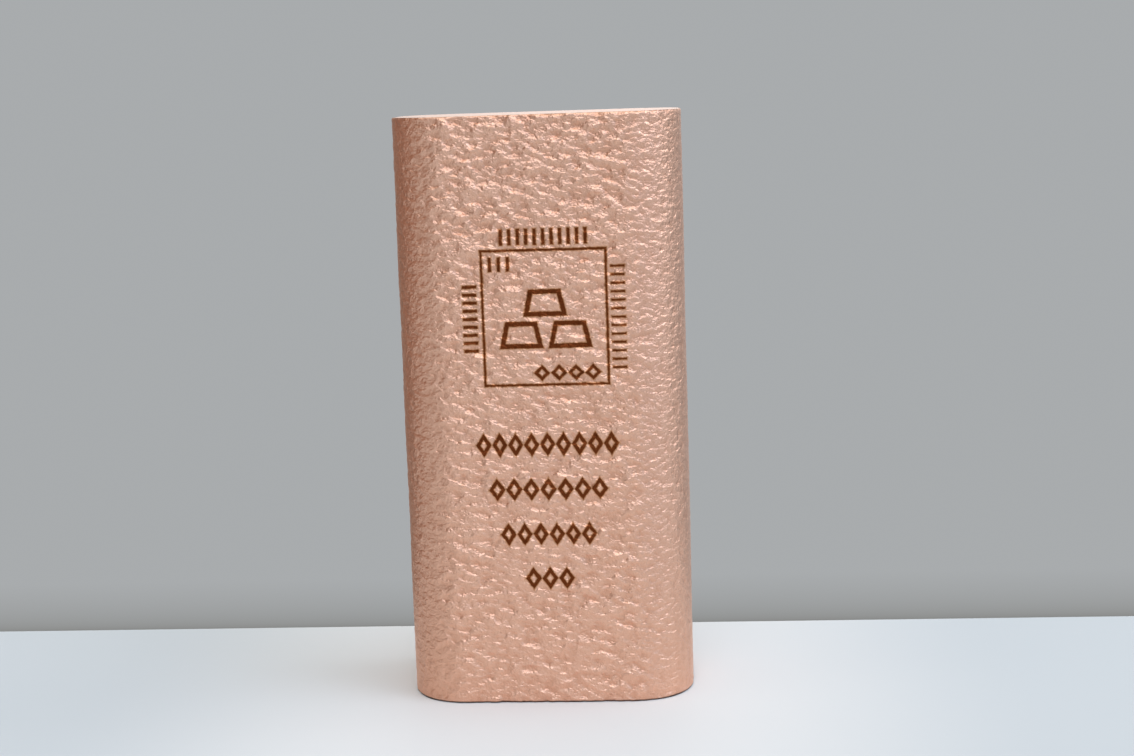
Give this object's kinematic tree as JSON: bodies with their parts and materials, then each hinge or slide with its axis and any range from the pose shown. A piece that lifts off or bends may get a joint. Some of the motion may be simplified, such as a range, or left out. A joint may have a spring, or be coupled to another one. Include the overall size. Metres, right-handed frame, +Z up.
{
  "type": "copper ingot",
  "caption": "Upright block of cast copper bar with rounded long edges, hammer-skinned sides and flat sawn ends: raw metal stock sold by weight.",
  "frame": {"origin": "middle of the lower sawn end, on the surface that the ingot stands on", "axes": "+Z up along the bar's length, X across the broad faces, Y through the thickness, with the marked broad face at -Y"},
  "size_m": [0.0762, 0.046, 0.155],
  "materials": {
    "copper": "satin"
  },
  "bodies": {
    "root": {"ingot": "copper"}
  },
  "joints": []
}
